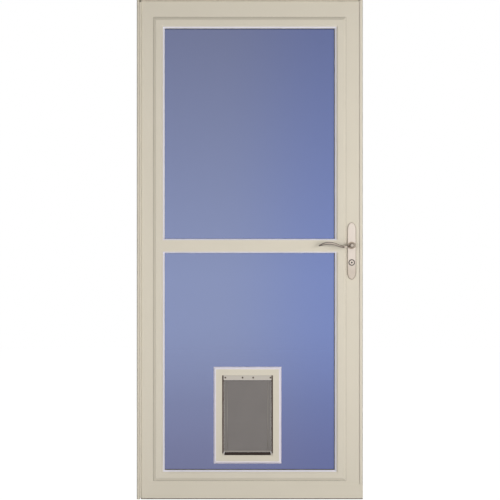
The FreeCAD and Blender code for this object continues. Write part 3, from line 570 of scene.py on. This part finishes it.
def all_screws():
    """Painted screws in the header's holes, and those of the clamp bar, inside ring, lock and hinge.

    The hinge's plates lie on the jamb of the hinge side's Z-bar and on the edge of the hinge stile.
    """
    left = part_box("hinge_side_z_bar")[0]
    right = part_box("latch_side_z_bar")[1]
    inset = 150 * MM
    rise = 13 * MM
    places = [(x, left.y, right.z + rise) for x in (left.x + inset, right.x - inset)]
    screws(
        "header_screws", places, Y_AXIS, -1, "frame", "almond_paint", radius=4.2 * MM, height=1.7 * MM
    )
    low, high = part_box("flap_clamp_bar")
    span = np.array([6.8, 76.6, 119.7, 189.2]) * MM
    places = [(low.x + x, low.y, (low.z + high.z) / 2) for x in span]
    screws("clamp_screws", places, Y_AXIS, -1, "leaf", "dark_nickel", radius=3.6 * MM, height=1.6 * MM)
    low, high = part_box("pet_frame_inside")
    inset = 16 * MM
    places = [
        (x, high.y, z) for x in (low.x + inset, high.x - inset)
        for z in np.linspace(low.z + inset, high.z - inset, 4)
    ]
    screws(
        "inside_ring_screws", places, Y_AXIS, 1, "leaf", "almond_paint", radius=3.4 * MM, height=1.4 * MM
    )
    low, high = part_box("inside_escutcheon")
    inset = 14 * MM
    places = [((low.x + high.x) / 2, high.y, z) for z in (low.z + inset, high.z - inset)]
    screws(
        "lock_fixing_screws", places, Y_AXIS, 1, "leaf", "satin_nickel", radius=3.6 * MM, height=1.6 * MM
    )
    low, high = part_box("hinge_frame_plate")
    plate = 1.5 * MM
    jamb = 11 * MM
    inset = 60 * MM
    depth = 12 * MM
    heights = np.linspace(low.z + inset, high.z - inset, 10)
    for body, face, sign in (
        ("frame", left.x + jamb + plate, 1), ("leaf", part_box("hinge_stile")[0].x - plate, -1),
    ):
        places = [(face, depth, z) for z in heights]
        screws(
            f"hinge_{body}_screws", places, X_AXIS, sign, body, "almond_paint",
            radius=3.2 * MM, height=0.6 * MM,
        )


def box_faces():
    """The six quads of a box whose points are two rings of four."""
    ends = np.array([(3, 2, 1, 0), (4, 5, 6, 7)])
    return np.concatenate([grid_faces(2, 4, close_columns=True), ends])


def block(low, high):
    """A box between two corners: a rectangle carried along X, with a quad at each end."""
    low = np.asarray(low)
    high = np.asarray(high)
    corner = np.array([(0, 0), (1, 0), (1, 1), (0, 1)])
    ring = np.concatenate([np.zeros((4, 1)), corner], 1)
    ends = ring + np.array([(1, 0, 0)]) * np.array([0, 1])[:, None, None]
    return low + (high - low) * ends.reshape(-1, 3), box_faces()


def pile(name, low, high, along, out, sign, body, slot, finish=None, nodes=(), rows=3, backing=0.45):
    """Woven pile between two corners: a backing strip, and rows of tapering tufts that lean at random.

    along and out are axis numbers, sign is the way the tufts stand, and backing is the strip's share of
    the height. Each tuft is a square post from inside the strip, 0.8 of its pitch wide at its foot and half
    that at its top. Its top moves sideways, and stands a little lower, by a seeded draw.
    """
    foot_half, top_half = 0.4, 0.2
    most_lean = 0.3
    least_lift = 0.88
    sunk = 0.8
    low = np.array(low)
    high = np.array(high)
    across = 3 - along - out
    draw = np.random.default_rng(11)
    foot, top = (low[out], high[out]) if sign > 0 else (high[out], low[out])
    base_low = low.copy()
    base_high = high.copy()
    base_edge = foot + (top - foot) * backing
    base_low[out], base_high[out] = sorted((foot, base_edge))
    pitch = (high[across] - low[across]) / rows
    count = int((high[along] - low[along]) / pitch)
    line = np.linspace(low[along] + pitch / 2, high[along] - pitch / 2, count)
    row = low[across] + pitch * (np.arange(rows) + 0.5)
    centre_along, centre_across = (grid.ravel() for grid in np.meshgrid(line, row))
    corner = np.array([(-1, -1), (1, -1), (1, 1), (-1, 1)])
    tuft_count = len(centre_along)
    lean = draw.uniform(-most_lean, most_lean, (tuft_count, 2)) * pitch
    lift = draw.uniform(least_lift, 1.0, tuft_count)
    points = np.zeros((tuft_count, 2, 4, 3))
    for level, (half, share) in enumerate(((foot_half, 0.0), (top_half, 1.0))):
        square = corner * half * pitch
        moved = lean * share
        height = backing * sunk * (1 - share) + share * lift
        points[:, level, :, along] = centre_along[:, None] + square[:, 0] + moved[:, :1]
        points[:, level, :, across] = centre_across[:, None] + square[:, 1] + moved[:, 1:]
        points[:, level, :, out] = (foot + (top - foot) * height)[:, None]
    steps = np.arange(tuft_count)[:, None, None] * 8
    tufts = (points.reshape(-1, 3), (box_faces()[None] + steps).reshape(-1, 4))
    make_piece(name, [block(base_low, base_high), tufts], body, slot, finish, nodes, crease=30)


def weatherstrips():
    """Pile on the three stops, standing out toward the back of the leaf."""
    for side, along in (("hinge_side", Z_AXIS), ("latch_side", Z_AXIS), ("header", X_AXIS)):
        node = f"{side}_weatherstrip"
        low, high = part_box(node)
        pile(f"{node}_pile", low, high, along, Y_AXIS, -1, "frame", "grey_pile", nodes=[node], rows=2)


def flap_seals():
    """Brown pile beside the flap and black under it, short of its edges by a running gap."""
    gap = 0.2 * MM
    depth = 3.2 * MM
    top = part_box("flap_clamp_bar")[1].z
    strip_low, strip_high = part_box("flap_magnet_strip")
    left_low, left_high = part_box("flap_corner_stop_left")
    right_low, right_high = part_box("flap_corner_stop_right")
    plane = (strip_low.y + strip_high.y) / 2
    front = plane - depth
    back = plane + depth
    sides = (
        ("left", left_low.x, strip_low.x - gap, 1, left_high.z),
        ("right", strip_high.x + gap, right_high.x, -1, right_high.z),
    )
    for side, low_x, high_x, sign, low_z in sides:
        pile(
            f"flap_seal_{side}", (low_x, front, low_z), (high_x, back, top), Z_AXIS, X_AXIS, sign,
            "leaf", "grey_pile", "brown_pile", rows=4, backing=0.95,
        )
    low = (left_high.x, front, left_low.z)
    high = (right_low.x, back, strip_low.z - gap)
    pile(
        "flap_seal_bottom", low, high, X_AXIS, Z_AXIS, 1,
        "leaf", "grey_pile", "black_pile", rows=4, backing=0.95,
    )


def ring_shell(bounds, profile, shares=(1, 1, 1, 1)):
    """A mitred ring round an upright rectangle: (distance out, Y) pairs carried through its four corners.

    The pairs are in mm. bounds and shares are for the left, right, bottom and top sides: bounds gives each
    side's place, or one place for every pair, and shares scales the distance out.
    """
    left, right, bottom, top = bounds
    profile = np.array(profile) * MM
    out, depth = profile.T
    corners = (
        (left - out * shares[0], bottom - out * shares[2]),
        (right + out * shares[1], bottom - out * shares[2]),
        (right + out * shares[1], top + out * shares[3]),
        (left - out * shares[0], top + out * shares[3]),
    )
    points = np.array([np.stack([x, depth, z], -1) for x, z in corners])
    return points.reshape(-1, 3), grid_faces(4, len(profile), True, True)


def raised_insert():
    """The insert's four bars as one mitred ring, and a dark line of painted shade where it sits on the
    leaf.

    The ring's points are (edge, distance out, Y), from the outer edge or from the panes' sight line: a
    quirk, the slope, the flat, the bevel, the glass rebate and the back. The outer edge stands inside the
    bars' own by the trims below. The painted shade line is narrower on the lit latch side.
    """
    width = 48.5 * MM
    lap = 15 * MM
    slope = 10.8 * MM
    quirk = 1.2 * MM
    trim_left, trim_right, trim_low, trim_high = np.array([3.8, 3.5, 6.0, 4.3]) * MM
    line_width = 0.9 * MM
    line_rise = 0.12 * MM
    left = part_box("insert_hinge_stile")[0].x
    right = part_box("insert_latch_stile")[1].x
    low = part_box("insert_bottom_rail")[0].z
    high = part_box("insert_top_rail")[1].z
    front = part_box("insert_hinge_stile")[0].y
    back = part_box("insert_hinge_stile")[1].y
    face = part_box("hinge_stile")[0].y
    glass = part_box("upper_glass")[0].y
    outer = (left + trim_left, right - trim_right, low + trim_low, high - trim_high)
    inner = (left + width, right - width, low + width, high - width)
    ring = (
        (outer, 0, face), (outer, 0, face - quirk), (outer, -slope, front), (inner, INSERT_BEVEL, front),
        (inner, 0, glass - SIGHT_EDGE), (inner, 0, glass), (inner, PANE_BITE, glass),
        (inner, PANE_BITE, back), (inner, width - lap, back), (inner, width - lap, face),
    )
    edges = np.array([edge for edge, _, _ in ring]).T
    profile = np.array([(out, depth) for _, out, depth in ring]) / MM
    bars = ["insert_hinge_stile", "insert_latch_stile", "insert_top_rail", "insert_bottom_rail"]
    insert = ring_shell(edges, profile)
    make_piece("raised_insert", [insert], "leaf", "almond_paint", nodes=bars, crease=15)
    # Painted shade: a dark line at the insert's foot, narrower on the latch side where the key lamp falls
    line = np.array([
        (0, face), (line_width, face), (line_width, face - line_rise), (0, face - line_rise),
    ]) / MM
    shade_line_ring = ring_shell(outer, line, (1, 0.6, 1, 1))
    make_piece("insert_painted_shade_line", [shade_line_ring], "leaf", "grey_pile", "painted_shade_line", crease=CRISP)


def straight_bar(section, axis, start, end):
    """A closed section run straight along one axis, its points given on the other two.

    The section has an even count of points, and its ends are closed by quads from first point to last.
    """
    count = len(section)
    points = np.zeros((2, count, 3))
    points[..., [other for other in range(3) if other != axis]] = section
    points[..., axis] = np.array([[start], [end]])
    half = np.arange(count // 2 - 1)
    cap = np.stack([half, half + 1, count - 2 - half, count - 1 - half], -1)
    faces = np.concatenate([grid_faces(2, count, close_columns=True), cap, cap + count])
    return points.reshape(-1, 3), faces


def mid_rail_edges():
    """Flat strips that carry the mid rail's face out to both panes: almond, then painted pale along the
    glass as a highlight.

    They fill the mid rail's bevel, all almond past the panes' corners, and end where the insert's own bevel
    reaches its front. Their sections are in mm, as (distance from the panes' sight line, Y).
    """
    side_bevel = 11.8 * MM
    corner = 6.0 * MM
    near, join, far = 1.4, 4.8, 8.1
    sunk = 0.1
    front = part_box("mid_rail")[0].y / MM
    sight = (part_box("upper_glass")[0].y - SIGHT_EDGE) / MM
    slope = (front - sight) * MM / MID_RAIL_BEVEL
    near_seat = sight + near * slope + sunk
    join_seat = sight + join * slope + sunk
    lip = ((near, near_seat), (near, front + 0.3), (join, front - 0.15), (join, join_seat))
    filler = ((join, join_seat), (join, front - 0.15), (far, front - 0.05), (far, front + sunk))
    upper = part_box("upper_glazing_bead")
    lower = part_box("lower_glazing_bead")
    left = upper[0].x + PANE_BITE
    right = upper[1].x - PANE_BITE
    pale_runs = ((lip, left - corner, right + corner),)
    almond_runs = (
        (filler, left - side_bevel, right + side_bevel),
        (lip, left - side_bevel, left - corner),
        (lip, right + corner, right + side_bevel),
    )
    # The pale lips are a painted highlight along the panes' edges
    for name, runs, finish in (("lips", pale_runs, "painted_highlight_mid_lip"), ("fillers", almond_runs, "almond_paint")):
        shells = []
        for section, start, end in runs:
            away, depth = np.array(section).T * MM
            for line, sign in ((upper[0].z + PANE_BITE, -1), (lower[1].z - PANE_BITE, 1)):
                outline = np.stack([depth, line + sign * away], -1)
                shells.append(straight_bar(outline, X_AXIS, start, end))
        make_piece(f"mid_rail_edge_{name}", shells, "leaf", "almond_vinyl", finish, crease=CRISP)


def glazing_trim():
    """Gasket lip on the bevel beside each pane, painted pale as a highlight, and a dark band behind the
    glass's edge that paints the shade there.

    The bevel falls from the insert's front to a sight line just before the glass, and is shorter on the
    mid rail. Lip and band are in mm, as (distance out from the sight line, Y). The painted shade shows
    least on the hinge side and along the mid rail.
    """
    lip_top, lip_root = 5.8, 6.0
    shade_band_in, shade_band_out = -4.2, -0.05
    slim = 0.3
    mid_rail_share = MID_RAIL_BEVEL / INSERT_BEVEL
    glass_low, glass_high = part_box("upper_glass")
    sight = (glass_low.y - SIGHT_EDGE) / MM
    slope = (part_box("mid_rail")[0].y / MM - sight) * MM / INSERT_BEVEL
    foot = glass_low.y / MM - 0.05
    # The lip's pale lavender finish is a painted highlight along the glass's edge
    lip = (
        (-0.7, foot), (-0.7, sight - 0.3), (0.1, sight - 0.9), (lip_top, sight + lip_top * slope - 0.7),
        (lip_root, sight + lip_root * slope + 0.1), (0, sight), (0, foot),
    )
    # A dark band behind the panes' edges: painted shade beside the lip
    front = glass_high.y / MM + 0.04
    back = glass_high.y / MM + 0.8
    shade_band = ((shade_band_in, front), (shade_band_out, front), (shade_band_out, back), (shade_band_in, back))
    for pane, shares, shade_band_shares in (
        ("upper", (1, 1, mid_rail_share, 1), (slim, 1, slim, 1)),
        ("lower", (1, 1, 1, mid_rail_share), (slim, 1, 1, slim)),
    ):
        low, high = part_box(f"{pane}_glazing_bead")
        bounds = (low.x + PANE_BITE, high.x - PANE_BITE, low.z + PANE_BITE, high.z - PANE_BITE)
        gasket = ring_shell(bounds, lip, shares)
        make_piece(f"{pane}_glass_gasket", [gasket], "leaf", "almond_vinyl", "painted_highlight_gasket", crease=CRISP)
        shade_band_ring = ring_shell(bounds, shade_band, shade_band_shares)
        make_piece(f"{pane}_glazing_tape", [shade_band_ring], "leaf", "grey_pile", "painted_edge_shade", crease=CRISP)


def pet_frame_trim():
    """Lip moulded round the pet frame's outer bevel, from the glass up the slope, painted pale as a
    highlight.

    Its section is in mm, as (distance out from the frame's edge, Y).
    """
    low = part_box("pet_frame_left")[0]
    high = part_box("pet_frame_right")[1]
    bounds = (low.x, high.x, low.z, high.z)
    lip = (
        (0, -4.05), (0.4, -4.05), (0.4, -7.9), (-5.4, -14.25), (-8.6, -14.35), (-8.8, -13.9),
        (-5.6, -13.5), (0, -7.4),
    )
    ring = ring_shell(bounds, lip)
    make_piece("pet_frame_edge_lip", [ring], "leaf", "almond_vinyl", "painted_highlight_lip", crease=CRISP)


def fin(name, low, high, body):
    """An almond vinyl fin: a plain strip between two corners."""
    make_piece(name, [block(low, high)], body, "almond_vinyl", crease=CRISP)


def gap_fins():
    """Fins in the running gaps: one along the leaf's latch edge, one under the header over the leaf."""
    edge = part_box("latch_stile")[1].x
    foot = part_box("bottom_expander")[1].z
    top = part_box("top_rail")[1].z
    reach = 3.2 * MM
    front = -6.2 * MM
    back = -4.2 * MM
    fin("latch_edge_fin", (edge, front, foot), (edge + reach, back, top), "leaf")
    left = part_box("hinge_stile")[0].x
    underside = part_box("latch_side_z_bar")[1].z
    clearance = 1.7 * MM
    front = -1.4 * MM
    back = 1.0 * MM
    fin("head_gap_fin", (left, front, top + clearance), (edge, back, underside), "frame")


def screw_covers():
    """Snap-on strips with rounded shoulders that hide the side flanges' screws.

    Their section is given as (share of the width, share of the depth) from the flange's outer edge, where
    the depth is less by the share called lean.
    """
    section = np.array([
        (0, 0), (0, 0.86), (0.05, 0.96), (0.12, 1), (0.9, 1), (0.96, 0.98), (1, 0.93), (1, 0),
    ])
    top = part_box("latch_side_z_bar")[1].z - END_ROOM
    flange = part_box("latch_side_z_bar")[0].y
    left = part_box("hinge_side_z_bar")[0].x
    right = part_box("latch_side_z_bar")[1].x
    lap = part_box("bottom_expander")[1].z + LAP_ROOM
    across, rise = section.T
    for side, edge, width, depth, lean, foot in (
        ("hinge", left + 2.3 * MM, 7.1 * MM, 11.5 * MM, 0.0, END_ROOM),
        ("latch", right - 1.1 * MM, -11.1 * MM, 6.4 * MM, 0.3, lap),
    ):
        height = depth * rise * (1 - lean * (1 - across))
        outline = np.stack([edge + width * across, flange - height], -1)
        cover = straight_bar(outline, Z_AXIS, foot, top)
        make_piece(f"{side}_side_screw_cover", [cover], "frame", "almond_paint", crease=40)


def flange_shade_beads():
    """Thin dark beads up the outer edges of the side flanges, beside their covers: painted shade along
    those edges.
    """
    left_low, left_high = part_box("hinge_side_z_bar")
    right_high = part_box("latch_side_z_bar")[1]
    back = left_low.y
    front = back - 0.6 * MM
    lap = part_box("bottom_expander")[1].z + LAP_ROOM
    # Dark beads: painted shade along the flanges' outer edges
    shells = [
        block((low_x, front, foot), (high_x, back, top))
        for low_x, high_x, foot, top in (
            (left_low.x + 0.1 * MM, left_low.x + 2.2 * MM, END_ROOM, left_high.z),
            (right_high.x - 1.0 * MM, right_high.x - 0.05 * MM, lap, right_high.z),
        )
    ]
    make_piece("flange_edge_shade_beads", shells, "frame", "grey_pile", "painted_flange_shade", crease=CRISP)


def sweep_end():
    """The sweep's vinyl carried on under the expander's lap, in front of the latch side's flange."""
    sweep_low, sweep_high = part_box("bottom_sweep")
    room = 0.3 * MM
    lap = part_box("bottom_expander")[1].x - room
    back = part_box("latch_side_z_bar")[0].y - room
    strip = block((sweep_high.x, sweep_low.y, sweep_low.z), (lap, back, sweep_high.z))
    make_piece("sweep_lap_end", [strip], "leaf", "sweep_vinyl", crease=CRISP)


def key_cylinder_trim():
    """Dark collar turned round the key cylinder, and the dark keyway in the middle of its plug."""
    low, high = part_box("lock_cylinder")
    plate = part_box("outside_escutcheon")[0].y
    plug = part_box("key_plug")[0].y
    centre = ((low.x + high.x) / 2, plate, (low.z + high.z) / 2)
    collar = (
        (11.05, 0), (12.9, 0), (12.7, 3.4), (11.8, 5.2), (10.2, 5.7), (9.5, 5.4), (9.5, 5.05),
        (11.05, 5.05), (11.05, 0),
    )
    make_piece("cylinder_collar", [turned(collar, centre, -1)], "leaf", "dark_nickel", "black_rubber")
    keyway = ((0, 0.4), (2.9, 0.35), (3.5, 0.0), (0, 0.0))
    face = (centre[0], plug, centre[2])
    make_piece("keyway_shutter", [turned(keyway, face, -1, 24)], "lock_set", "dark_nickel", "black_rubber")


def flap_ribs():
    """Rounded ribs up both faces of the flap: a bead along each side edge, and one further in.

    A rib's section is half an oval on the panel's face, and its lighter vinyl is a painted highlight.
    """
    half_panel = 1.75 * MM
    half_rib = 1.4 * MM
    rib_height = 0.9 * MM
    strip_low, strip_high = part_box("flap_magnet_strip")
    foot = strip_high.z + 0.5 * MM
    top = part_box("pet_flap")[1].z - 9 * MM
    middle = (strip_low.y + strip_high.y) / 2
    turn = np.linspace(0, math.pi, 8)
    rib = np.stack([half_rib * np.cos(turn), rib_height * np.sin(turn) + half_panel], -1)
    insets = np.array([2.4, 13.6]) * MM
    lines = np.concatenate([strip_low.x + insets, strip_high.x - insets])
    shells = [
        straight_bar(np.array([x, middle]) + rib * np.array([1, face]), Z_AXIS, foot, top)
        for x in lines for face in (-1, 1)
    ]
    make_piece("flap_ribs", shells, "flap", "flap_vinyl", "flap_rib")


def build_pieces():
    """Every piece that dresses the solids."""
    lever("cast_outside_lever", "outside_lever", "outside_escutcheon", -1)
    lever("cast_inside_lever", "inside_lever", "inside_escutcheon", 1)
    lock_plate("outside", "outside_escutcheon", -1)
    lock_plate("inside", "inside_escutcheon", 1)
    key_cylinder_trim()
    all_screws()
    flap_ribs()
    weatherstrips()
    flap_seals()
    raised_insert()
    glazing_trim()
    mid_rail_edges()
    pet_frame_trim()
    gap_fins()
    screw_covers()
    flange_shade_beads()
    sweep_end()


def seen_directly(tree):
    """One where the camera, a reflection or a view through glass looks, and zero for light that falls."""
    path = add_node(tree, "ShaderNodeLightPath")
    first = add_node(
        tree, "ShaderNodeMath",
        {0: path.outputs["Is Camera Ray"], 1: path.outputs["Is Transmission Ray"]}, operation="MAXIMUM",
    )
    both = add_node(
        tree, "ShaderNodeMath",
        {0: first.outputs[0], 1: path.outputs["Is Glossy Ray"]}, operation="MAXIMUM",
    )
    return both.outputs[0]


def pale_floor():
    """A flat pale floor, near white where it is seen, that keeps a faint shadow."""
    left, right, near, far = -9.0, 10.0, -9.0, 12.0
    corners = [(left, near, 0), (right, near, 0), (right, far, 0), (left, far, 0)]
    mesh = bpy.data.meshes.new("floor")
    mesh.from_pydata(corners, [], [(0, 1, 2, 3)])
    floor = bpy.data.objects.new("floor", mesh)
    bpy.context.scene.collection.objects.link(floor)
    paint = bpy.data.materials.new("pale_floor")
    paint.use_nodes = True
    tree = paint.node_tree
    tree.nodes.clear()
    seen = seen_directly(tree)
    diffuse = add_node(tree, "ShaderNodeBsdfDiffuse", {"Color": linear("#d8d8d8")})
    glow = add_node(tree, "ShaderNodeEmission", {"Color": linear("#ffffff"), "Strength": 1.1})
    share = add_node(tree, "ShaderNodeMath", {0: seen, 1: 0.9}, operation="MULTIPLY")
    mix = add_node(
        tree, "ShaderNodeMixShader",
        {0: share.outputs[0], 1: diffuse.outputs[0], 2: glow.outputs[0]},
    )
    add_node(tree, "ShaderNodeOutputMaterial", {"Surface": mix.outputs[0]})
    mesh.materials.append(paint)


def white_surround():
    """Soft light from all round, and plain white for what is seen directly."""
    world = bpy.data.worlds.new("studio")
    bpy.context.scene.world = world
    world.use_nodes = True
    tree = world.node_tree
    tree.nodes.clear()
    seen = seen_directly(tree)
    soft = add_node(tree, "ShaderNodeBackground", {"Color": linear("#ffffff"), "Strength": 0.2})
    white = add_node(tree, "ShaderNodeBackground", {"Color": linear("#ffffff"), "Strength": 1.0})
    mix = add_node(
        tree, "ShaderNodeMixShader", {0: seen, 1: soft.outputs[0], 2: white.outputs[0]}
    )
    add_node(tree, "ShaderNodeOutputWorld", {"Surface": mix.outputs[0]})


def lamp(name, place, size, power):
    """A soft square lamp turned toward the door, not itself seen in the panes or through them."""
    light = bpy.data.lights.new(name, "AREA")
    light.shape = "SQUARE"
    light.size = size
    light.energy = power
    holder = bpy.data.objects.new(name, light)
    holder.location = place
    holder.rotation_euler = (Vector(LAMP_AIM) - Vector(place)).to_track_quat("-Z", "Y").to_euler()
    holder.visible_camera = False
    holder.visible_glossy = False
    holder.visible_transmission = False
    bpy.context.scene.collection.objects.link(holder)


def camera():
    """Square on to the door, far enough back for the photograph's flat perspective."""
    data = bpy.data.cameras.new("camera")
    data.lens = SENSOR * CAMERA_DISTANCE / FRAME_WIDTH
    data.sensor_width = SENSOR
    eye = bpy.data.objects.new("camera", data)
    eye.location = (FRAME_CENTRE[0], -CAMERA_DISTANCE, FRAME_CENTRE[1])
    eye.rotation_euler = (math.pi / 2, 0, 0)
    bpy.context.scene.collection.objects.link(eye)
    bpy.context.scene.camera = eye


bpy.context.scene.view_settings.view_transform = "Standard"
paint_solids()
build_pieces()
pale_floor()
white_surround()
for row in LAMPS:
    lamp(*row)
camera()
